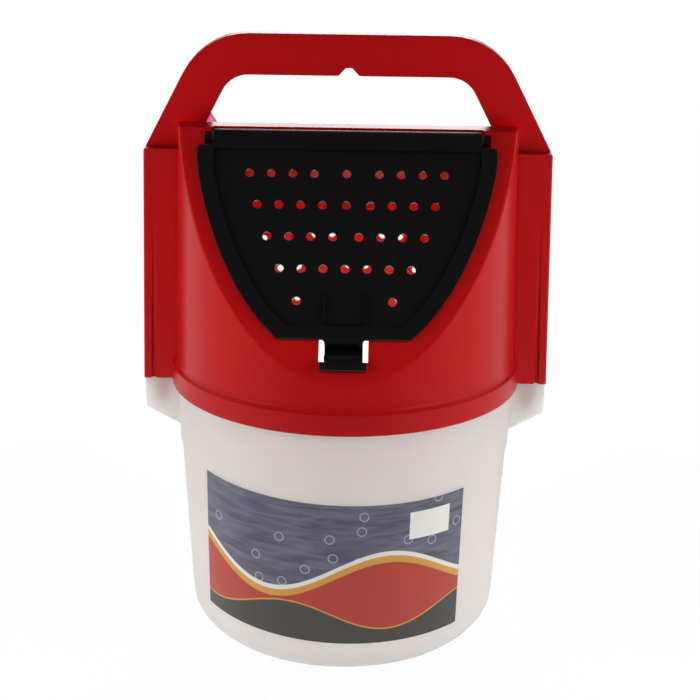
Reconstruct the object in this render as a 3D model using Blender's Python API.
"""Trolling bait bucket: a tapered tub, a snap-on cover with wings and a handle, and a flow-through door.

Units are metres, +Z is up, and the origin is at the middle of the tub's base.
The door faces -Y, the wings reach along X, and the handle stands over the ridge of the cover.
"""

import math

import bmesh
import bpy
from mathutils import Matrix, Vector

# Fits and facets
CLEARANCE = 0.0003
OVERLAP = 0.001
WELD = 0.000004  # corners closer than this are one corner
ROUND_SEGMENTS = 80
HOLE_SEGMENTS = 12
CORNER_STEPS = 5

# Tub
TUB_BASE_RADIUS = 0.0968
TUB_TAPER = 0.062
TUB_WALL = 0.0022
TUB_CORNER_ACROSS = 0.040
TUB_CORNER_UP = 0.0264
FOOT_RING_WIDTH = 0.010
FOOT_RING_HEIGHT = 0.0012
SHOULDER_HEIGHT = 0.1275
SHOULDER_STEP = 0.0010
SHOULDER_RISE = 0.0030
COLLAR_TAPER = 0.030
SPIGOT_HEIGHT = 0.0098

# Seam between tub and cover, and the cover's rim band
SEAM_HEIGHT = 0.1690
BAND_WALL = 0.00314
BAND_HEIGHT = 0.0133
BAND_FILLET = 0.0030
BAND_EDGE = 0.0006

# Cover
LEDGE_WIDTH = 0.00335
COVER_TAPER = 0.0138
COVER_WALL = 0.0024
RIDGE_HEIGHT = 0.3339
RIDGE_FRONT = 0.0227
RIDGE_BACK = 0.0050
FACE_ANGLE = math.radians(32.0)
ROOF_ANGLE = math.radians(54.7)
COVER_EDGE = 0.0012

# Back wall's water holes
BACK_HOLE_RADIUS = 0.00255
BACK_HOLE_PITCH = 0.01165
BACK_HOLES_EACH_SIDE = 5
BACK_ROW_HEIGHT = 0.1908
BACK_ROW_PITCH = 0.0226
BACK_ROWS = 3

# Wings and the tub's ears below them
WING_TOP_HEIGHT = 0.3178
WING_TOP_WIDTH = 0.0153
WING_BASE_WIDTH = 0.0175
WING_THICKNESS = 0.0250
WING_EDGE = 0.0040
WING_TOP_CORNER = 0.0012
WING_FILLET = 0.0020
FLUTE_RADIUS = 0.0017
FLUTE_DEPTH = 0.0019
FLUTE_SKIN = 0.0018
FLUTE_LENGTH = 0.1150
FLUTE_FROM_EDGE = 0.0064
EAR_EDGE = 0.0035
EAR_HEIGHT = 0.0200
EAR_SLOPE = math.radians(28.4)
EAR_CORNER = 0.0040
EAR_STEP_IN = 0.0005

# Snap tabs that hang from the wings into the ears
TAB_FROM_EDGE = 0.0121
TAB_WIDTH = 0.0075
TAB_THICKNESS = 0.0015
TAB_LENGTH = 0.0145
TAB_ROOT = 0.0070
CATCH_DEPTH = 0.0007
CATCH_HEIGHT = 0.0018
CATCH_BELOW_SEAM = 0.0072

# Handle
HANDLE_TOP_HEIGHT = 0.3885
HANDLE_BAR = 0.0255
HANDLE_LEG_WIDTH = 0.0264
HANDLE_LEG_ANGLE = math.radians(27.3)
HANDLE_OUTER_CORNER = 0.0460
HANDLE_INNER_CORNER = 0.0180
HANDLE_FRONT = 0.0030
HANDLE_DEPTH = 0.0120
HANDLE_WALL = 0.0024
HANDLE_EDGE = 0.0005
HANDLE_RIB = 0.0018
HANDLE_RIB_PITCH = 0.0300
NOTCH_RADIUS = 0.0030
NOTCH_DEPTH = 0.0050
NOTCH_FLARE = 0.0034
WEB_ABOVE_RIDGE = 0.0036
WEB_WIDTH = 0.0120
WEB_HEIGHT = 0.0185
WEB_THICKNESS = 0.0012

# Door: distances down are from the ridge's front edge, and distances up from the foot of the face
DOOR_MARGIN = 0.0094
DOOR_SIDE_MARGIN = 0.0148
DOOR_CORNER = 0.0015
DOOR_TOP = 0.0122
DOOR_UP = 0.0277
DOOR_FLANGE = 0.0024
DOOR_EDGE = 0.0004
OPENING_INSET = 0.0070
OPENING_FOOT = 0.0045
TRAY_INSET = 0.0097
TRAY_WALL = 0.0017
TRAY_SINK = 0.0021
TRAY_FLOOR = 0.0019
TRAY_TOP = 0.0022
TRAY_FOOT = 0.0077
TRAY_CORNER = 0.0015
DOOR_HOLE_RADIUS = 0.00275
DOOR_HOLE_PITCH = 0.0130
DOOR_ROW_FIRST = 0.0292
DOOR_ROW_LAST = 0.0236
THUMB_RIB_SPREAD = 0.0119
THUMB_RIB_LENGTH = 0.0223
THUMB_RIB_WIDTH = 0.0010
THUMB_RIB_HEIGHT = 0.0014

# Hinge
BARREL_RADIUS = 0.0053
BARREL_DOWN = 0.00586
BARREL_SINK = 0.0019
BARREL_CHAMFER = 0.0010
RECESS_CLEARANCE = 0.0005
RECESS_WALL = 0.0020
SEAT_FROM_SIDE = 0.0040
SEAT_LENGTH = 0.0045
SEAT_TOP = 0.0026
SEAT_SINK = 0.0058
PIVOT_RADIUS = 0.0012
BOSS_RADIUS = 0.0029
PIVOT_LENGTH = 0.0080
BEARING_LENGTH = 0.0060

# Latch: a U-shaped spring whose sides pass through a slot in the face
SLOT_REACH = 0.0144
SLOT_UP = 0.0149
SLOT_HEIGHT = 0.01415
LATCH_REACH = 0.0113
LATCH_WALL = 0.0018
LATCH_TO_SLOT = 0.0020
LATCH_OPENING = 0.0091
LATCH_SINK = 0.0105
LATCH_FLARE = 0.0022
LATCH_SPLIT = 0.0005
FLARE_SINK = 0.0002
LIP_REACH = 0.0135
LIP_BELOW_SLOT = 0.0011
LIP_HEIGHT = 0.0053
LIP_LIFT = 0.0008
LIP_THICKNESS = 0.0050
LIP_EDGE = 0.0010
BARB_BITE = 0.0008
BARB_HEIGHT = 0.0016
BARB_GAP = 0.0009

# Foam floats
FLOAT_CLEARANCE = 0.0004
FLOAT_FOOT_THICKNESS = 0.0144
FLOAT_STEP_ABOVE_SEAM = 0.0100
FLOAT_EDGE = 0.0025

# Label: a flat rectangle wrapped on the tapered wall
LABEL_WIDTH = 0.1770
LABEL_HEIGHT = 0.0930
LABEL_BELOW_SHOULDER = 0.0040
LABEL_SHIFT = -0.0080
LABEL_TILT = math.radians(-1.15)
LABEL_THICKNESS = 0.0003

# Door holes in each row: offset of the first hole of each side in pitches, their number, centre hole
DOOR_HOLE_ROWS = (
    (1.5, 4, True),
    (1.1, 4, True),
    (0.6, 4, False),
    (1.0, 3, True),
    (2.17, 1, False),
)


def clear_scene():
    """Remove every object of the open file."""
    for item in list(bpy.data.objects):
        bpy.data.objects.remove(item, do_unlink=True)


def make_material(name, colour, roughness, metallic=0.0, alpha=1.0):
    """A Principled material of one colour."""
    material = bpy.data.materials.new(name)
    material.use_nodes = True
    shader = material.node_tree.nodes["Principled BSDF"]
    shader.inputs["Base Color"].default_value = (*colour, 1.0)
    shader.inputs["Roughness"].default_value = roughness
    shader.inputs["Metallic"].default_value = metallic
    shader.inputs["Alpha"].default_value = alpha
    material.diffuse_color = (*colour, alpha)
    return material


def red_plastic():
    """Glossy red polypropylene of the cover."""
    return make_material("red_plastic", (0.48, 0.014, 0.012), 0.28)


def natural_plastic():
    """Translucent unpigmented polypropylene of the tub."""
    return make_material("natural_plastic", (0.80, 0.77, 0.74), 0.35)


def black_plastic():
    """Black polypropylene of the door."""
    return make_material("black_plastic", (0.006, 0.006, 0.007), 0.35)


def white_foam():
    """Expanded polystyrene of the floats."""
    return make_material("white_foam", (0.86, 0.86, 0.85), 0.85)


def printed_film():
    """Printed label film."""
    return make_material("printed_film", (0.10, 0.10, 0.20), 0.40)


def add_object(name, shape):
    """Turn a bmesh into an object of the scene."""
    mesh = bpy.data.meshes.new(name)
    shape.to_mesh(mesh)
    shape.free()
    item = bpy.data.objects.new(name, mesh)
    bpy.context.scene.collection.objects.link(item)
    return item


def combine(target, tool, operation):
    """Join, cut or intersect target with tool, and remove the tool."""
    change = target.modifiers.new(operation.lower(), "BOOLEAN")
    change.operation = operation
    change.solver = "EXACT"
    change.object = tool
    bpy.context.view_layer.update()
    evaluated = target.evaluated_get(bpy.context.evaluated_depsgraph_get())
    result = bpy.data.meshes.new_from_object(evaluated)
    shape = bmesh.new()
    shape.from_mesh(result)
    bmesh.ops.remove_doubles(shape, verts=shape.verts, dist=WELD)
    bmesh.ops.dissolve_degenerate(shape, edges=shape.edges, dist=WELD)
    shape.to_mesh(result)
    shape.free()
    target.modifiers.clear()
    old = target.data
    target.data = result
    bpy.data.meshes.remove(old)
    bpy.data.objects.remove(tool, do_unlink=True)
    return target


def join(target, tool):
    return combine(target, tool, "UNION")


def cut(target, tool):
    return combine(target, tool, "DIFFERENCE")


def turned(name, profile, segments=ROUND_SEGMENTS):
    """Solid of revolution about Z. The profile starts and ends on the axis."""
    shape = bmesh.new()
    corners = [shape.verts.new((radius, 0.0, height)) for radius, height in profile]
    edges = [shape.edges.new(pair) for pair in zip(corners, corners[1:])]
    bmesh.ops.spin(
        shape,
        geom=corners + edges,
        cent=(0.0, 0.0, 0.0),
        axis=(0.0, 0.0, 1.0),
        angle=math.tau,
        steps=segments,
        use_merge=True,
        use_duplicate=False,
    )
    bmesh.ops.remove_doubles(shape, verts=shape.verts, dist=1e-6)
    bmesh.ops.recalc_face_normals(shape, faces=shape.faces)
    return add_object(name, shape)


def prism(name, outline, low, high, frame):
    """Solid with an outline in the frame's first two axes, from low to high along its third."""
    shape = bmesh.new()
    face = shape.faces.new([shape.verts.new((x, y, low)) for x, y in outline])
    raised = bmesh.ops.extrude_face_region(shape, geom=[face])
    top = [item for item in raised["geom"] if isinstance(item, bmesh.types.BMVert)]
    bmesh.ops.translate(shape, verts=top, vec=(0.0, 0.0, high - low))
    bmesh.ops.transform(shape, matrix=frame, verts=shape.verts)
    bmesh.ops.recalc_face_normals(shape, faces=shape.faces)
    return add_object(name, shape)


def rod(name, radius, low, high, centre, axis, segments=HOLE_SEGMENTS, end_radius=None):
    """Round bar or cone along an axis, from low to high measured from its centre."""
    shape = bmesh.new()
    bmesh.ops.create_cone(
        shape,
        cap_ends=True,
        segments=segments,
        radius1=radius,
        radius2=radius if end_radius is None else end_radius,
        depth=high - low,
    )
    bmesh.ops.translate(shape, verts=shape.verts, vec=(0.0, 0.0, (low + high) / 2))
    turn = Vector((0.0, 0.0, 1.0)).rotation_difference(Vector(axis)).to_matrix().to_4x4()
    bmesh.ops.transform(shape, matrix=Matrix.Translation(centre) @ turn, verts=shape.verts)
    return add_object(name, shape)


def block(name, low, high, frame=None):
    """Box between two corners of a frame."""
    outline = [(low[0], low[1]), (high[0], low[1]), (high[0], high[1]), (low[0], high[1])]
    return prism(name, outline, low[2], high[2], frame or Matrix.Identity(4))


def gathered(name, items):
    """One object from separate solids that don't touch."""
    shape = bmesh.new()
    for item in items:
        shape.from_mesh(item.data)
        bpy.data.objects.remove(item, do_unlink=True)
    return add_object(name, shape)


def mirrored(item, name):
    """Copy of an object on the other side of the YZ plane."""
    shape = bmesh.new()
    shape.from_mesh(item.data)
    bmesh.ops.scale(shape, vec=(-1.0, 1.0, 1.0), verts=shape.verts)
    bmesh.ops.reverse_faces(shape, faces=shape.faces)
    return add_object(name, shape)


def rounded(corners, steps=CORNER_STEPS):
    """Outline from (x, y, radius) corners, each replaced by a fillet arc where it has a radius."""
    outline = []
    count = len(corners)
    for index, (x, y, radius) in enumerate(corners):
        here = Vector((x, y))
        if radius <= 0.0:
            outline.append(here)
            continue
        before = (Vector(corners[index - 1][:2]) - here).normalized()
        after = (Vector(corners[(index + 1) % count][:2]) - here).normalized()
        half = before.angle(after) / 2
        centre = here + (before + after).normalized() * radius / math.sin(half)
        start = here + before * radius / math.tan(half) - centre
        end = here + after * radius / math.tan(half) - centre
        sweep = start.angle_signed(end)
        for step in range(steps + 1):
            turn = Matrix.Rotation(-sweep * step / steps, 2)
            outline.append(centre + turn @ start)
    return [(point.x, point.y) for point in outline]


def bevel_edges(item, width, segments, chosen):
    """Round the edges that the test picks."""
    shape = bmesh.new()
    shape.from_mesh(item.data)
    edges = [edge for edge in shape.edges if chosen(edge)]
    bmesh.ops.bevel(
        shape,
        geom=edges,
        offset=width,
        segments=segments,
        profile=0.5,
        affect="EDGES",
        material=-1,
        clamp_overlap=True,
    )
    shape.to_mesh(item.data)
    shape.free()
    return item


def upright_frame():
    """Frame whose outline lies in X and Z and whose third axis points forward, along -Y."""
    return Matrix(((1, 0, 0, 0), (0, 0, -1, 0), (0, 1, 0, 0), (0, 0, 0, 1)))


def face_frame():
    """Frame on the sloping face: X, up the face, and straight out of it, from the ridge's front edge."""
    sine, cosine = math.sin(FACE_ANGLE), math.cos(FACE_ANGLE)
    return Matrix(
        (
            (1, 0, 0, 0),
            (0, sine, -cosine, -RIDGE_FRONT),
            (0, cosine, sine, RIDGE_HEIGHT),
            (0, 0, 0, 1),
        )
    )


def side_frame():
    """Frame for profiles across the door: down the face, out of it, and along X."""
    face = face_frame()
    down = Matrix(((0, 0, 1, 0), (-1, 0, 0, 0), (0, 1, 0, 0), (0, 0, 0, 1)))
    return face @ down


def on_face(x, down, out):
    """World point at x, a distance down the face, and a height out of it."""
    return face_frame() @ Vector((x, -down, out))


def hinge_centre():
    return on_face(0.0, BARREL_DOWN, -BARREL_SINK)


def latch_centre():
    return on_face(0.0, (upper_leg() + lower_leg()) / 2, -LATCH_SINK)


def tub_radius(height):
    """Outside radius of the tub at a height, without its bottom corner."""
    if height <= SHOULDER_HEIGHT:
        return TUB_BASE_RADIUS + TUB_TAPER * height
    collar = TUB_BASE_RADIUS + TUB_TAPER * SHOULDER_HEIGHT + SHOULDER_STEP
    return collar + COLLAR_TAPER * (height - SHOULDER_HEIGHT)


def socket_top():
    """Height of the ceiling of the socket that the tub's spigot fills."""
    return SEAM_HEIGHT + SPIGOT_HEIGHT + CLEARANCE


def socket_radius():
    """Radius of the cover's socket round the spigot."""
    return tub_radius(socket_top()) + CLEARANCE


def band_radius():
    """Outside radius of the cover's rim band."""
    return socket_radius() + BAND_WALL


def cover_radius(height):
    """Outside radius of the cover's round body at a height."""
    return band_radius() - LEDGE_WIDTH - COVER_TAPER * (height - SEAM_HEIGHT - BAND_HEIGHT)


def wing_reach(height):
    """Distance of the wing's outer edge from the middle at a height."""
    share = (height - SEAM_HEIGHT) / (WING_TOP_HEIGHT - SEAM_HEIGHT)
    return band_radius() + WING_BASE_WIDTH + (WING_TOP_WIDTH - WING_BASE_WIDTH) * share


def tab_centre():
    """Distance of the right snap tabs' middle from the middle of the tub."""
    return wing_reach(SEAM_HEIGHT) - TAB_FROM_EDGE


def face_end():
    """Distance down the face to its foot at the front of the round body."""
    return (cover_radius(SEAM_HEIGHT + BAND_HEIGHT) - RIDGE_FRONT) / math.sin(FACE_ANGLE)


def door_bottom():
    """Distance down the face to the door's bottom edge."""
    return face_end() - DOOR_UP


def door_reach():
    """Half the width of the door's straight-sided top."""
    return cover_radius(RIDGE_HEIGHT) - DOOR_SIDE_MARGIN


def seat_reach():
    """Distance from the middle to the faces of the hinge's bearings."""
    return door_reach() - SEAT_FROM_SIDE


def barrel_reach():
    """Half the length of the hinge's barrel."""
    return seat_reach() - SEAT_LENGTH


def slot_bottom():
    """Distance down the face to the lower edge of the latch's slot."""
    return face_end() - SLOT_UP


def lower_leg():
    """Distance down the face to the middle of the latch's lower leg."""
    return slot_bottom() - LATCH_TO_SLOT


def upper_leg():
    """Distance down the face to the middle of the latch's upper leg."""
    return lower_leg() - LATCH_OPENING


def lip_top():
    """Distance down the face to the top of the latch's lip."""
    return slot_bottom() + LIP_BELOW_SLOT


def face_half_width(down, inset):
    """Half the face's width at a distance down it, drawn in from its curved edge and the door's straight sides."""
    middle_height = RIDGE_HEIGHT - math.cos(FACE_ANGLE) * face_end() / 2
    radius = cover_radius(middle_height)
    along = (down + RIDGE_FRONT / math.sin(FACE_ANGLE)) / (radius / math.sin(FACE_ANGLE) - inset)
    curved = (radius - inset) * math.sqrt(max(1.0 - along * along, 0.0))
    return min(curved, door_reach() + DOOR_MARGIN - inset)


def face_outline(inset, top, bottom, corner, steps=12):
    """Closed outline on the face between two heights, following its curved edge, with rounded corners."""
    right = []
    for step in range(steps + 1):
        down = top + (bottom - top) * step / steps
        radius = corner if step in (0, steps) else 0.0
        right.append((face_half_width(down, inset), -down, radius))
    return rounded(right + [(-x, y, radius) for x, y, radius in reversed(right)], 3)


def tub_outer_profile():
    """Outside of the tub, closed across the top of its spigot."""
    top = SEAM_HEIGHT + SPIGOT_HEIGHT
    ring = tub_radius(TUB_CORNER_UP) - TUB_CORNER_ACROSS
    inner_ring = ring - FOOT_RING_WIDTH
    profile = [(0.0, FOOT_RING_HEIGHT), (inner_ring - FOOT_RING_HEIGHT, FOOT_RING_HEIGHT), (inner_ring, 0.0)]
    steps = 8
    for step in range(steps + 1):
        turn = math.pi / 2 * step / steps
        across = ring + TUB_CORNER_ACROSS * math.sin(turn)
        profile.append((across, TUB_CORNER_UP * (1 - math.cos(turn))))
    profile.append((tub_radius(SHOULDER_HEIGHT), SHOULDER_HEIGHT))
    profile.append((tub_radius(SHOULDER_HEIGHT + SHOULDER_RISE), SHOULDER_HEIGHT + SHOULDER_RISE))
    profile.append((tub_radius(SEAM_HEIGHT), SEAM_HEIGHT))
    profile.append((tub_radius(top) - CLEARANCE, top))
    profile.append((0.0, top))
    return profile


def tub_inner_profile():
    """Hollow of the tub, carried past its rim."""
    top = SEAM_HEIGHT + SPIGOT_HEIGHT + OVERLAP
    floor = FOOT_RING_HEIGHT + TUB_WALL
    across = TUB_CORNER_ACROSS - TUB_WALL
    rise = TUB_CORNER_UP - TUB_WALL
    ring = tub_radius(TUB_CORNER_UP) - TUB_CORNER_ACROSS
    profile = [(0.0, floor)]
    steps = 6
    for step in range(steps + 1):
        turn = math.pi / 2 * step / steps
        height = floor + rise * (1 - math.cos(turn))
        profile.append((ring + across * math.sin(turn), height))
    for height in (SHOULDER_HEIGHT, SHOULDER_HEIGHT + SHOULDER_RISE, top):
        profile.append((tub_radius(height) - TUB_WALL, height))
    profile.append((0.0, top))
    return profile


def ear_outline(inset):
    """Ear seen from the front: outer edge, rounded corner and sloping underside, drawn in by inset."""
    drop = math.tan(EAR_SLOPE)
    outer = wing_reach(SEAM_HEIGHT) - EAR_STEP_IN - inset
    top = SEAM_HEIGHT - CLEARANCE + (OVERLAP if inset else 0.0)
    foot = SEAM_HEIGHT - EAR_HEIGHT + inset / math.cos(EAR_SLOPE) - inset * drop
    root = tub_radius(SEAM_HEIGHT) - 4 * TUB_WALL
    corner = max(EAR_CORNER - inset, 0.0)
    return rounded(
        [(root, top, 0.0), (outer, top, 0.0), (outer, foot, corner), (root, foot - (outer - root) * drop, 0.0)]
    )


def ear_solid(inset):
    """Ear with rounded outer edges, drawn in by inset."""
    half = WING_THICKNESS / 2 - EAR_STEP_IN - inset
    ear = prism("ear", ear_outline(inset), -half, half, upright_frame())
    top = SEAM_HEIGHT - CLEARANCE
    root = tub_radius(SEAM_HEIGHT)

    def is_outer_edge(edge):
        ends = [vertex.co for vertex in edge.verts]
        if any(abs(abs(end.y) - half) > half / 1000 for end in ends) or ends[0].y * ends[1].y < 0.0:
            return False
        return max(end.x for end in ends) > root and min(end.z for end in ends) < top - EAR_STEP_IN

    return bevel_edges(ear, EAR_EDGE - inset, 3, is_outer_edge)


def make_ear():
    """Hollow right ear, open at the top, with the two catches of its snap tabs."""
    inside = WING_THICKNESS / 2 - EAR_STEP_IN - TUB_WALL
    ear = ear_solid(0.0)
    cut(ear, ear_solid(TUB_WALL))
    catch_top = SEAM_HEIGHT - CATCH_BELOW_SEAM
    right = tab_centre() + TAB_WIDTH / 2 + OVERLAP
    for side in (-1, 1):
        edges = sorted((side * (inside - CATCH_DEPTH), side * (inside + TUB_WALL / 2)))
        low = (right - TAB_WIDTH - 2 * OVERLAP, edges[0], catch_top - CATCH_HEIGHT)
        high = (right, edges[1], catch_top)
        join(ear, block("catch", low, high))
    return ear


def make_tub():
    """Tub with its two ears."""
    tub = turned("tub", tub_outer_profile())
    ear = make_ear()
    join(tub, mirrored(ear, "left_ear"))
    join(tub, ear)
    cut(tub, turned("hollow", tub_inner_profile()))
    return tub


def cover_outer_profile():
    """Outside of the cover's round body before its slopes are cut."""
    top_of_band = SEAM_HEIGHT + BAND_HEIGHT
    root = cover_radius(top_of_band)
    ledge = band_radius() - BAND_EDGE
    fillet = min(BAND_FILLET, ledge - root)
    profile = [
        (0.0, SEAM_HEIGHT),
        (ledge, SEAM_HEIGHT),
        (band_radius(), SEAM_HEIGHT + BAND_EDGE),
        (band_radius(), top_of_band - BAND_EDGE),
        (ledge, top_of_band),
    ]
    steps = 3
    for step in range(steps + 1):
        turn = math.pi / 2 * step / steps
        height = top_of_band + fillet * (1 - math.cos(turn))
        profile.append((cover_radius(height) + fillet * (1 - math.sin(turn)), height))
    high = RIDGE_HEIGHT + 4 * OVERLAP
    profile.append((cover_radius(high), high))
    profile.append((0.0, high))
    return profile


def cover_inner_profile():
    """Hollow of the cover before its slopes are cut: a socket for the tub, then the round body."""
    high = RIDGE_HEIGHT + 4 * OVERLAP
    return [
        (0.0, SEAM_HEIGHT - OVERLAP),
        (socket_radius(), SEAM_HEIGHT - OVERLAP),
        (socket_radius(), socket_top()),
        (cover_radius(socket_top()) - COVER_WALL, socket_top()),
        (cover_radius(high) - COVER_WALL, high),
        (0.0, high),
    ]


def slope_planes(depth):
    """Point and outward normal of the face, ridge and roof planes, moved in by a depth."""
    planes = (
        ((0.0, -RIDGE_FRONT, RIDGE_HEIGHT), (0.0, -math.cos(FACE_ANGLE), math.sin(FACE_ANGLE))),
        ((0.0, 0.0, RIDGE_HEIGHT), (0.0, 0.0, 1.0)),
        ((0.0, -RIDGE_BACK, RIDGE_HEIGHT), (0.0, math.cos(ROOF_ANGLE), math.sin(ROOF_ANGLE))),
    )
    return [(Vector(point) - Vector(normal) * depth, Vector(normal)) for point, normal in planes]


def slope_body(item, depth):
    """Slice the face, the ridge and the roof off a round body and close the cuts."""
    shape = bmesh.new()
    shape.from_mesh(item.data)
    for point, normal in slope_planes(depth):
        sliced = bmesh.ops.bisect_plane(
            shape,
            geom=shape.verts[:] + shape.edges[:] + shape.faces[:],
            dist=1e-6,
            plane_co=point,
            plane_no=normal,
            clear_outer=True,
        )
        rim = [part for part in sliced["geom_cut"] if isinstance(part, bmesh.types.BMEdge)]
        bmesh.ops.edgeloop_fill(shape, edges=rim)
    bmesh.ops.remove_doubles(shape, verts=shape.verts, dist=2e-4)
    bmesh.ops.recalc_face_normals(shape, faces=shape.faces)
    shape.to_mesh(item.data)
    shape.free()
    return item


def cover_body():
    """Solid round body with its slopes and their rounded edges."""
    body = slope_body(turned("cover", cover_outer_profile()), 0.0)
    normals = [normal for _, normal in slope_planes(0.0)]

    def borders_a_slope(edge):
        faces = edge.link_faces
        if len(faces) != 2 or faces[0].normal.angle(faces[1].normal) < math.radians(12.0):
            return False
        return any(face.normal.angle(normal) < 0.01 for face in faces for normal in normals)

    return bevel_edges(body, COVER_EDGE, 2, borders_a_slope)


def wing_outline(inset):
    """Wing seen from the front, drawn in by inset; its root lies inside the round body."""
    root = cover_radius(WING_TOP_HEIGHT) - 6 * COVER_WALL
    top = WING_TOP_HEIGHT - inset
    base = SEAM_HEIGHT - (OVERLAP if inset else 0.0)
    corner = max(WING_TOP_CORNER - inset, WING_TOP_CORNER / 3)
    outer_top = (wing_reach(top) - inset, top, corner)
    return rounded([(root, base, 0.0), (wing_reach(base) - inset, base, 0.0), outer_top, (root, top, 0.0)], 3)


def wing_solid(inset):
    """Wing with rounded outer edges, drawn in by inset."""
    half = WING_THICKNESS / 2 - inset
    wing = prism("wing", wing_outline(inset), -half, half, upright_frame())

    def is_outer_edge(edge):
        ends = [vertex.co for vertex in edge.verts]
        if any(abs(abs(end.y) - half) > half / 1000 for end in ends) or ends[0].y * ends[1].y < 0.0:
            return False
        return all(end.x > wing_reach(end.z) - inset - WING_EDGE for end in ends)

    return bevel_edges(wing, WING_EDGE - inset * 0.9, 3, is_outer_edge)


def wing_flutes(skin):
    """Tapered grooves just inside the wing's outer edges, deepest at the foot, or the skin round them."""
    flutes = []
    foot = SEAM_HEIGHT - 2 * OVERLAP
    head = SEAM_HEIGHT + FLUTE_LENGTH
    tip = FLUTE_RADIUS / 2
    for side in (-1, 1):
        half = WING_THICKNESS / 2
        start = Vector((wing_reach(foot) - FLUTE_FROM_EDGE, side * (half + FLUTE_RADIUS - FLUTE_DEPTH), foot))
        end = Vector((wing_reach(head) - FLUTE_FROM_EDGE, side * (half + tip), head))
        run = end - start
        along = run.normalized()
        flutes.append(rod("flute", FLUTE_RADIUS + skin, 0.0, run.length, start, along, 16, tip + skin))
    return gathered("flutes", flutes)


def snap_tabs():
    """Two tabs inside the right wing that reach down into the ear and catch under its ribs."""
    inside = WING_THICKNESS / 2 - COVER_WALL
    ear_inside = WING_THICKNESS / 2 - EAR_STEP_IN - TUB_WALL
    outer = ear_inside - CATCH_DEPTH - CLEARANCE
    left = tab_centre() - TAB_WIDTH / 2
    barb_top = SEAM_HEIGHT - CATCH_BELOW_SEAM - CATCH_HEIGHT - CLEARANCE
    foot = SEAM_HEIGHT - TAB_LENGTH
    root_low = SEAM_HEIGHT + FLOAT_STEP_ABOVE_SEAM - TAB_ROOT
    root_high = SEAM_HEIGHT + FLOAT_STEP_ABOVE_SEAM - CLEARANCE
    profile = [
        (outer - TAB_THICKNESS, foot),
        (outer, foot),
        (ear_inside - CLEARANCE, foot + 2 * CATCH_HEIGHT),
        (ear_inside - CLEARANCE, barb_top),
        (outer, barb_top),
        (outer, root_low),
        (inside + COVER_WALL / 3, root_low),
        (inside + COVER_WALL / 3, root_high),
        (outer - TAB_THICKNESS, root_high),
    ]
    across = Matrix(((0, 0, 1, 0), (1, 0, 0, 0), (0, 1, 0, 0), (0, 0, 0, 1)))
    back = prism("tab", profile, left, left + TAB_WIDTH, across)
    front = prism("tab", [(-y, z) for y, z in profile], left, left + TAB_WIDTH, across)
    return gathered("tabs", [back, front])


def make_wing():
    """Hollow right wing, open at the bottom, with its flutes and snap tabs."""
    wing = wing_solid(0.0)
    cut(wing, wing_flutes(0.0))
    cavity = wing_solid(COVER_WALL)
    cut(cavity, wing_flutes(FLUTE_SKIN))
    cut(wing, cavity)
    return join(wing, snap_tabs())


def fillet_wings(cover):
    """Round the upright corners where the wings grow out of the round body."""
    half = WING_THICKNESS / 2

    def is_corner(edge):
        if len(edge.link_faces) != 2:
            return False
        ends = [vertex.co for vertex in edge.verts]
        if any(abs(abs(end.y) - half) > half / 1000 for end in ends):
            return False
        upright = abs((ends[0] - ends[1]).normalized().z) > 0.9
        flat = [face for face in edge.link_faces if abs(face.normal.y) > 0.99]
        inside = band_radius() - CLEARANCE
        return upright and len(flat) == 1 and all(abs(end.x) < inside for end in ends)

    return bevel_edges(cover, WING_FILLET, 2, is_corner)


def leg_line(offset, height):
    """Distance from the middle of the leg's outer edge, moved in by an offset, at a height."""
    edge = wing_reach(WING_TOP_HEIGHT) - CLEARANCE - offset / math.cos(HANDLE_LEG_ANGLE)
    return edge - (height - WING_TOP_HEIGHT) * math.tan(HANDLE_LEG_ANGLE)


def notch_corners(margin):
    """Corners of the small rope notch under the middle of the bar, from right to left."""
    if margin:
        return []
    under = HANDLE_TOP_HEIGHT - HANDLE_BAR
    flare = NOTCH_RADIUS + NOTCH_FLARE
    crown = under + NOTCH_DEPTH
    return [
        (flare, under, NOTCH_FLARE * 0.7),
        (NOTCH_RADIUS, crown - NOTCH_RADIUS * 0.4, 0.0),
        (NOTCH_RADIUS * 0.7, crown - NOTCH_RADIUS * 0.1, 0.0),
        (0.0, crown, 0.0),
        (-NOTCH_RADIUS * 0.7, crown - NOTCH_RADIUS * 0.1, 0.0),
        (-NOTCH_RADIUS, crown - NOTCH_RADIUS * 0.4, 0.0),
        (-flare, under, NOTCH_FLARE * 0.7),
    ]


def arch_outline(margin, base):
    """Arch of the handle seen from the front, drawn in by a margin on both of its edges."""
    top = HANDLE_TOP_HEIGHT - margin
    under = HANDLE_TOP_HEIGHT - HANDLE_BAR + margin
    inner = HANDLE_LEG_WIDTH - margin
    outer_corner = HANDLE_OUTER_CORNER - margin
    inner_corner = HANDLE_INNER_CORNER + margin
    foot = base
    if not margin:
        foot = WING_TOP_HEIGHT
    right = [(leg_line(margin, foot), foot, 0.0), (leg_line(margin, top), top, outer_corner)]
    inside = [(leg_line(inner, under), under, inner_corner), (leg_line(inner, base), base, 0.0)]
    corners = []
    if not margin:
        corners.append((leg_line(margin, foot) - 2 * OVERLAP, base, 0.0))
    corners += right
    corners += [(-x, y, radius) for x, y, radius in reversed(right)]
    if not margin:
        corners.append((2 * OVERLAP - leg_line(margin, foot), base, 0.0))
    corners += [(-x, y, radius) for x, y, radius in reversed(inside)]
    corners += [(-x, y, radius) for x, y, radius in notch_corners(margin)]
    corners += inside
    return rounded(corners, 7)


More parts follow.
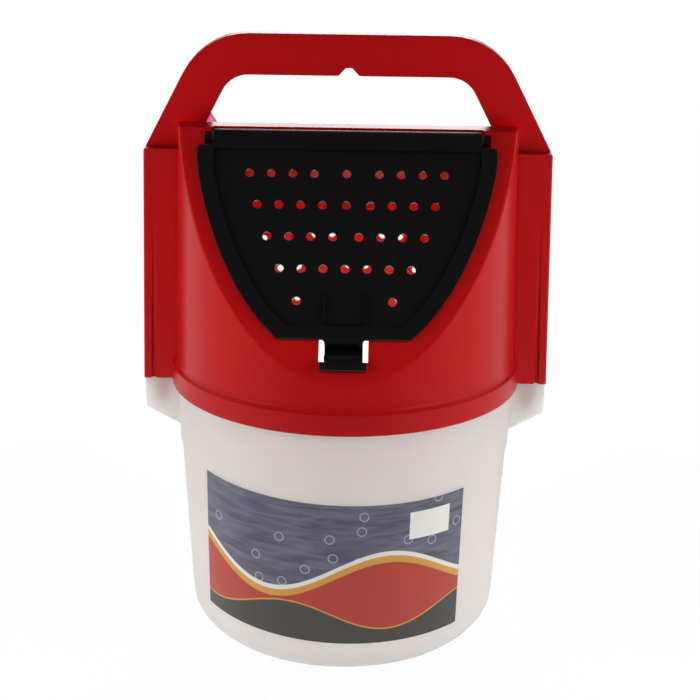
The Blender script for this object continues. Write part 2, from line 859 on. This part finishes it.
def handle_ribs():
    """Cross ribs of the channel and the thick spot round the rope notch."""
    back = -HANDLE_FRONT - HANDLE_DEPTH
    ribs = []
    reach = int(HANDLE_OUTER_CORNER / HANDLE_RIB_PITCH) + 1
    for place in range(-reach, reach + 1):
        x = place * HANDLE_RIB_PITCH
        if abs(x) > leg_line(HANDLE_LEG_WIDTH, HANDLE_TOP_HEIGHT - HANDLE_BAR) or place == 0:
            continue
        low = (x - HANDLE_RIB / 2, HANDLE_TOP_HEIGHT - HANDLE_BAR, back)
        ribs.append(block("rib", low, (x + HANDLE_RIB / 2, HANDLE_TOP_HEIGHT, 0.0), upright_frame()))
    pad = NOTCH_RADIUS + NOTCH_FLARE + HANDLE_RIB
    under = HANDLE_TOP_HEIGHT - HANDLE_BAR
    high = (pad, under + NOTCH_DEPTH + HANDLE_WALL, 0.0)
    ribs.append(block("pad", (-pad, under, back), high, upright_frame()))
    for side in (-1, 1):
        for step in (1, 2):
            height = WING_TOP_HEIGHT + step * HANDLE_RIB_PITCH * 0.75
            outer = leg_line(0.0, height)
            inner = leg_line(HANDLE_LEG_WIDTH, height)
            low = (min(side * outer, side * inner), height - HANDLE_RIB / 2, back)
            high = (max(side * outer, side * inner), height + HANDLE_RIB / 2, 0.0)
            ribs.append(block("rib", low, high, upright_frame()))
    return gathered("ribs", ribs)


def make_handle():
    """Arch-shaped carrying handle: a flat front web with flanges behind, open at the back."""
    base = WING_TOP_HEIGHT - COVER_WALL * 0.6
    front = HANDLE_FRONT
    back = HANDLE_FRONT - HANDLE_DEPTH
    handle = prism("handle", arch_outline(0.0, base), back, front, upright_frame())
    bevel_edges(handle, HANDLE_EDGE, 1, lambda edge: all(vertex.co.y < -front + OVERLAP / 9 for vertex in edge.verts))
    pocket_base = WING_TOP_HEIGHT + HANDLE_WALL
    pocket = prism(
        "pocket", arch_outline(HANDLE_WALL, pocket_base), back - OVERLAP, front - HANDLE_WALL, upright_frame()
    )
    cut(pocket, handle_ribs())
    return cut(handle, pocket)


def leg_web():
    """Small thin web in the corner between the left leg and the roof, behind the leg."""
    high = RIDGE_HEIGHT + WEB_ABOVE_RIDGE
    low = high - WEB_HEIGHT
    edge = leg_line(HANDLE_LEG_WIDTH, high)
    outline = [(-leg_line(HANDLE_LEG_WIDTH, low) - OVERLAP, low), (-edge - OVERLAP, high), (-edge, high)]
    outline.append((WEB_WIDTH - edge, low))
    back = HANDLE_FRONT - HANDLE_DEPTH
    return prism("web", outline, back + WEB_THICKNESS, back + 2 * WEB_THICKNESS, upright_frame())


def barrel_profile(grow):
    """Half of the barrel's outline as (radius, distance from its middle), made larger by grow."""
    reach = barrel_reach() + grow
    return [
        (BARREL_RADIUS + grow, reach - BARREL_CHAMFER),
        (BARREL_RADIUS + grow - BARREL_CHAMFER, reach),
    ]


def turned_along_hinge(name, half):
    """Solid of revolution about the hinge's axis from one half of its outline."""
    bar = turned(name, [(radius, -along) for radius, along in reversed(half)] + half, 32)
    bar.data.transform(Matrix.Translation(hinge_centre()) @ Matrix.Rotation(math.radians(90.0), 4, "Y"))
    return bar


def cover_hollow():
    """Inside of the cover, which leaves a trough behind the barrel and a bearing at each of its ends."""
    hollow = slope_body(turned("hollow", cover_inner_profile()), COVER_WALL)
    reach = seat_reach() + BEARING_LENGTH
    radius = BARREL_RADIUS + RECESS_CLEARANCE + RECESS_WALL
    return cut(hollow, rod("housing", radius, -reach, reach, hinge_centre(), (1.0, 0.0, 0.0), 32))


def hinge_recess():
    """Room for the barrel, open to the front and the top."""
    centre = hinge_centre()
    recess = turned_along_hinge("recess", barrel_profile(RECESS_CLEARANCE) + [(0.0, barrel_reach() + RECESS_CLEARANCE)])
    reach = barrel_reach() + RECESS_CLEARANCE / 2
    back = centre.y + BARREL_RADIUS + RECESS_CLEARANCE / 2
    right = [(reach - BARREL_CHAMFER, back), (reach, back - BARREL_CHAMFER * 2), (reach, back - 4 * BARREL_RADIUS)]
    outline = right + [(-x, y) for x, y in reversed(right)]
    low = centre.z + RECESS_CLEARANCE
    return join(recess, prism("top", outline, low, RIDGE_HEIGHT + 4 * OVERLAP, Matrix.Identity(4)))


def pivot_seats():
    """Slots at the barrel's ends, open to the front, that the pivots cross."""
    low_x = barrel_reach() - BARREL_CHAMFER / 2
    seats = []
    for side in (-1, 1):
        edges = sorted((side * low_x, side * seat_reach()))
        low = (edges[0], -BARREL_DOWN - BARREL_RADIUS, -SEAT_SINK)
        seats.append(block("seat", low, (edges[1], -SEAT_TOP, COVER_WALL), face_frame()))
    return gathered("seats", seats)


def pivot_bores():
    """Blind bores of the two bearings."""
    low = seat_reach() - OVERLAP
    high = barrel_reach() + PIVOT_LENGTH + CLEARANCE
    radius = PIVOT_RADIUS + CLEARANCE
    sides = (Vector((1.0, 0.0, 0.0)), Vector((-1.0, 0.0, 0.0)))
    return gathered("bores", [rod("bore", radius, low, high, hinge_centre(), side, 20) for side in sides])


def door_opening():
    """Hole in the face behind the door."""
    top = DOOR_TOP + TRAY_TOP - TRAY_WALL - CLEARANCE
    bottom = door_bottom() - OPENING_FOOT
    outline = face_outline(DOOR_MARGIN + OPENING_INSET, top, bottom, TRAY_CORNER)
    return prism("opening", outline, -4 * COVER_WALL, COVER_WALL, face_frame())


def latch_slot():
    """Slot in the face that the latch passes through."""
    low = (-SLOT_REACH, -slot_bottom(), -4 * COVER_WALL)
    return block("slot", low, (SLOT_REACH, -(slot_bottom() - SLOT_HEIGHT), COVER_WALL), face_frame())


def back_holes():
    """Rows of water holes through the round back wall, all drilled along Y."""
    holes = []
    for row in range(BACK_ROWS):
        height = BACK_ROW_HEIGHT + row * BACK_ROW_PITCH
        for column in range(-BACK_HOLES_EACH_SIDE, BACK_HOLES_EACH_SIDE + 1):
            centre = Vector((column * BACK_HOLE_PITCH, 0.0, height))
            wall = math.sqrt(cover_radius(height) ** 2 - centre.x**2)
            holes.append(
                rod("hole", BACK_HOLE_RADIUS, wall - 5 * COVER_WALL, wall + 3 * COVER_WALL, centre, (0.0, 1.0, 0.0))
            )
    return gathered("holes", holes)


def make_cover():
    """Cover with its slopes, wings, handle, openings and water holes."""
    cover = cover_body()
    wing = make_wing()
    join(cover, mirrored(wing, "left_wing"))
    join(cover, wing)
    fillet_wings(cover)
    join(cover, make_handle())
    join(cover, leg_web())
    cut(cover, cover_hollow())
    cut(cover, hinge_recess())
    cut(cover, pivot_seats())
    cut(cover, pivot_bores())
    cut(cover, door_opening())
    cut(cover, latch_slot())
    cut(cover, back_holes())
    return cover


def door_holes():
    """Water holes of the door's panel, five staggered rows that follow its narrowing sides."""
    holes = []
    for row, (first, count, centre_hole) in enumerate(DOOR_HOLE_ROWS):
        last = door_bottom() - DOOR_ROW_LAST
        down = DOOR_ROW_FIRST + (last - DOOR_ROW_FIRST) * row / (len(DOOR_HOLE_ROWS) - 1)
        places = [0.0] if centre_hole else []
        for step in range(count):
            reach = (first + step) * DOOR_HOLE_PITCH
            places += [-reach, reach]
        for x in places:
            centre = on_face(x, down, 0.0)
            axis = face_frame().to_3x3() @ Vector((0.0, 0.0, 1.0))
            holes.append(rod("hole", DOOR_HOLE_RADIUS, -4 * TRAY_SINK, 4 * TRAY_SINK, centre, axis))
    return gathered("holes", holes)


def door_tray():
    """Outer skin of the sunk panel, behind the flange."""
    top = DOOR_TOP + TRAY_TOP - TRAY_WALL
    bottom = door_bottom() - TRAY_FOOT + TRAY_WALL
    outline = face_outline(DOOR_MARGIN + TRAY_INSET - TRAY_WALL, top, bottom, TRAY_CORNER + TRAY_WALL)
    floor = CLEARANCE + DOOR_FLANGE - TRAY_SINK - TRAY_FLOOR
    return prism("tray", outline, floor, CLEARANCE + DOOR_FLANGE / 2, face_frame())


def tray_pocket():
    """Hollow of the sunk panel."""
    top = DOOR_TOP + TRAY_TOP
    bottom = door_bottom() - TRAY_FOOT
    outline = face_outline(DOOR_MARGIN + TRAY_INSET, top, bottom, TRAY_CORNER)
    floor = CLEARANCE + DOOR_FLANGE - TRAY_SINK
    return prism("tray_hollow", outline, floor, floor + 2 * DOOR_FLANGE, face_frame())


def thumb_ribs():
    """Two upright ribs and a short cross rib on the panel, above the latch."""
    floor = CLEARANCE + DOOR_FLANGE - TRAY_SINK
    low_edge = door_bottom() - TRAY_FOOT
    high = floor + THUMB_RIB_HEIGHT
    half = THUMB_RIB_WIDTH / 2
    ribs = []
    for side in (-1, 1):
        x = side * THUMB_RIB_SPREAD
        low = (x - half, -low_edge - OVERLAP, floor - OVERLAP)
        ribs.append(block("rib", low, (x + half, THUMB_RIB_LENGTH - low_edge, high), face_frame()))
    reach = THUMB_RIB_SPREAD - 3 * THUMB_RIB_WIDTH
    cross = low_edge - 2.5 * THUMB_RIB_WIDTH
    low = (-reach, -cross - half, floor - OVERLAP)
    ribs.append(block("rib", low, (reach, -cross + half, high), face_frame()))
    return gathered("ribs", ribs)


def hinge_barrel():
    """Round bar along the door's top edge with a boss and a pivot on each end, and the web under it."""
    shoulder = seat_reach() - CLEARANCE
    tip = barrel_reach() + PIVOT_LENGTH
    boss = [(BOSS_RADIUS, barrel_reach()), (BOSS_RADIUS, shoulder)]
    pivot = boss + [(PIVOT_RADIUS, shoulder), (PIVOT_RADIUS, tip), (0.0, tip)]
    barrel = turned_along_hinge("barrel", barrel_profile(0.0) + pivot)
    reach = barrel_reach() - BARREL_CHAMFER
    low = (-reach, -DOOR_TOP - OVERLAP, CLEARANCE)
    return join(barrel, block("web", low, (reach, -BARREL_DOWN, CLEARANCE + DOOR_FLANGE), face_frame()))


def flared_outline(root, tip, wide):
    """Neck outline on the face: wide at its root, narrowing in a fillet to just inside the leg at its tip."""
    narrow = LATCH_REACH - FLARE_SINK
    side = rounded([(narrow, -tip, 0.0), (narrow, -root, wide - narrow), (wide, -root, 0.0)], 4)
    back = root + (root - tip) * 0.4
    right = side + [(wide, -back)]
    return right + [(-x, y) for x, y in reversed(right)]


def latch_upper():
    """Root of the U-shaped latch: flare under the flange, upper leg and half of the bend."""
    half = LATCH_WALL / 2
    middle = (upper_leg() + lower_leg()) / 2
    radius = (lower_leg() - upper_leg()) / 2
    sink = -LATCH_SINK + radius
    outer, inner = radius + half, radius - half
    profile = [(upper_leg() - half, CLEARANCE + DOOR_FLANGE / 2), (upper_leg() - half, sink)]
    steps = 6
    last = math.pi / 2 - LATCH_SPLIT / (2 * radius)
    for step in range(1, steps + 1):
        turn = last * step / steps
        profile.append((middle - outer * math.cos(turn), sink - outer * math.sin(turn)))
    for step in range(steps, 0, -1):
        turn = last * step / steps
        profile.append((middle - inner * math.cos(turn), sink - inner * math.sin(turn)))
    profile += [(upper_leg() + half, sink), (upper_leg() + half, CLEARANCE + DOOR_FLANGE / 2)]
    leg = prism("upper_leg", profile, -LATCH_REACH, LATCH_REACH, side_frame())
    flare = flared_outline(door_bottom() - FLARE_SINK, upper_leg() + half - FLARE_SINK, LATCH_REACH + LATCH_FLARE)
    low = CLEARANCE + FLARE_SINK
    return join(leg, prism("flare", flare, low, CLEARANCE + DOOR_FLANGE - FLARE_SINK, face_frame()))


def pivoted(item, centre):
    """Move an object's origin to a world point and leave its shape where it is."""
    item.data.transform(Matrix.Translation(-centre))
    item.location = centre
    return item


def make_door():
    """Door with its flange, sunk panel, barrel, pivots, holes and the root of its latch."""
    outline = face_outline(DOOR_MARGIN, DOOR_TOP, door_bottom(), DOOR_CORNER)
    door = prism("door", outline, CLEARANCE, CLEARANCE + DOOR_FLANGE, face_frame())
    out_of_face = face_frame().to_3x3() @ Vector((0.0, 0.0, 1.0))

    def is_rim(edge):
        facing = [face for face in edge.link_faces if face.normal.dot(out_of_face) > 0.99]
        return len(facing) == 1

    bevel_edges(door, DOOR_EDGE, 1, is_rim)
    join(door, door_tray())
    cut(door, tray_pocket())
    join(door, thumb_ribs())
    join(door, hinge_barrel())
    cut(door, door_holes())
    join(door, latch_upper())
    return pivoted(door, hinge_centre())


def make_latch_hook():
    """Sprung outer leg of the latch: half of the bend, lower leg, barb and thumb lip."""
    half = LATCH_WALL / 2
    middle = (upper_leg() + lower_leg()) / 2
    radius = (lower_leg() - upper_leg()) / 2
    sink = -LATCH_SINK + radius
    outer, inner = radius + half, radius - half
    first = math.pi / 2 - LATCH_SPLIT / (2 * radius)
    barb_top = -COVER_WALL - BARB_GAP
    barb_tip = slot_bottom() + BARB_BITE
    lip_out = LIP_LIFT + LIP_THICKNESS
    steps = 6
    profile = []
    for step in range(steps, -1, -1):
        turn = first * step / steps
        profile.append((middle + outer * math.cos(turn), sink - outer * math.sin(turn)))
    profile += [
        (lower_leg() + half, barb_top - 2 * BARB_HEIGHT),
        (barb_tip, barb_top - BARB_HEIGHT * 0.5),
        (barb_tip, barb_top),
        (lower_leg() + half, barb_top),
        (lower_leg() + half, lip_out - half),
        (lower_leg() - half, lip_out - LATCH_WALL),
        (lower_leg() - half, sink),
    ]
    for step in range(1, steps + 1):
        turn = first * step / steps
        profile.append((middle + inner * math.cos(turn), sink - inner * math.sin(turn)))
    hook = prism("latch_hook", profile, -LATCH_REACH, LATCH_REACH, side_frame())
    lip = [
        (lip_top(), LIP_LIFT, 0.0),
        (lip_top() + LIP_HEIGHT, LIP_LIFT, LIP_EDGE / 2),
        (lip_top() + LIP_HEIGHT, lip_out, LIP_EDGE),
        (lip_top(), lip_out, LIP_EDGE),
    ]
    join(hook, prism("lip", rounded(lip, 3), -LIP_REACH, LIP_REACH, side_frame()))
    flare = flared_outline(lip_top() + half, lower_leg() - half + FLARE_SINK, LIP_REACH - FLARE_SINK)
    high = lip_out - LATCH_WALL - FLARE_SINK
    join(hook, prism("flare", flare, LIP_LIFT + FLARE_SINK, high, face_frame()))
    return pivoted(hook, latch_centre())


def float_outline():
    """Foam float seen from the front: slopes with the ear's floor and narrows with the wing."""
    gap = COVER_WALL + FLOAT_CLEARANCE
    drop = math.tan(EAR_SLOPE)
    shift = TUB_WALL + CLEARANCE
    floor = SEAM_HEIGHT - EAR_HEIGHT + shift / math.cos(EAR_SLOPE) - shift * drop
    outer = wing_reach(SEAM_HEIGHT) - EAR_STEP_IN - shift
    inner = band_radius() - 2 * COVER_WALL
    top = WING_TOP_HEIGHT - gap
    return rounded(
        [
            (inner, floor - (outer - inner) * drop, 0.0),
            (outer - CLEARANCE, floor, FLOAT_EDGE),
            (wing_reach(SEAM_HEIGHT) - gap - CLEARANCE, SEAM_HEIGHT, 0.0),
            (wing_reach(top) - gap, top, FLOAT_EDGE),
            (inner, top, 0.0),
        ],
        3,
    )


def make_float(name):
    """Right foam float: a block that fills the wing, and a thinner foot between the snap tabs."""
    half = WING_THICKNESS / 2 - COVER_WALL - FLOAT_CLEARANCE
    foam = prism(name, float_outline(), -half, half, upright_frame())
    step_height = SEAM_HEIGHT + FLOAT_STEP_ABOVE_SEAM
    for side in (-1, 1):
        edges = sorted((side * FLOAT_FOOT_THICKNESS / 2, side * WING_THICKNESS))
        low = (0.0, edges[0], SEAM_HEIGHT - 2 * EAR_HEIGHT)
        cut(foam, block("foot_side", low, (2 * band_radius(), edges[1], step_height)))
    cut(foam, wing_flutes(FLUTE_SKIN + FLOAT_CLEARANCE))
    clear = band_radius() + FLOAT_CLEARANCE
    bore = rod("bore", clear, 0.0, HANDLE_TOP_HEIGHT, (0.0, 0.0, 0.0), (0.0, 0.0, 1.0), 2 * ROUND_SEGMENTS)
    return cut(foam, bore)


def make_label():
    """Printed film: a flat rectangle rolled on to the tapered wall, so that its edges sag at the middle."""
    slope = math.atan(TUB_TAPER)
    apex = -TUB_BASE_RADIUS / TUB_TAPER
    middle = SHOULDER_HEIGHT - LABEL_BELOW_SHOULDER - LABEL_HEIGHT / 2
    far = (middle - apex) / math.cos(slope)
    columns, rows = 24, 4
    shape = bmesh.new()
    bmesh.ops.create_grid(shape, x_segments=columns, y_segments=rows, size=0.5)
    flat = Matrix.Diagonal((LABEL_WIDTH, LABEL_HEIGHT, 1.0, 1.0))
    turned_flat = Matrix.Rotation(LABEL_TILT, 4, "Z") @ flat
    bmesh.ops.transform(shape, matrix=turned_flat, verts=shape.verts)
    raised = bmesh.ops.extrude_face_region(shape, geom=shape.faces[:])
    top = [item for item in raised["geom"] if isinstance(item, bmesh.types.BMVert)]
    bmesh.ops.translate(shape, verts=top, vec=(0.0, 0.0, LABEL_THICKNESS))
    bmesh.ops.recalc_face_normals(shape, faces=shape.faces)
    for vertex in shape.verts:
        across = vertex.co.x + LABEL_SHIFT
        away = far + vertex.co.y
        reach = math.hypot(across, away)
        around = math.atan2(across, away) / math.sin(slope)
        radius = reach * math.sin(slope) + CLEARANCE + vertex.co.z
        vertex.co = (radius * math.sin(around), -radius * math.cos(around), apex + reach * math.cos(slope))
    return add_object("label", shape)


def finish(item, material, angle=35.0):
    """Give a piece its material and smooth shading with sharp edges kept."""
    item.data.materials.clear()
    item.data.materials.append(material)
    item.data.shade_smooth()
    item.data.set_sharp_from_angle(angle=math.radians(angle))


def main():
    clear_scene()
    red, natural, black = red_plastic(), natural_plastic(), black_plastic()
    foam, film = white_foam(), printed_film()
    finish(make_tub(), natural)
    finish(make_cover(), red)
    finish(make_door(), black)
    finish(make_latch_hook(), black)
    right_float = make_float("foam_float_right")
    finish(mirrored(right_float, "foam_float_left"), foam)
    finish(right_float, foam)
    finish(make_label(), film)


main()
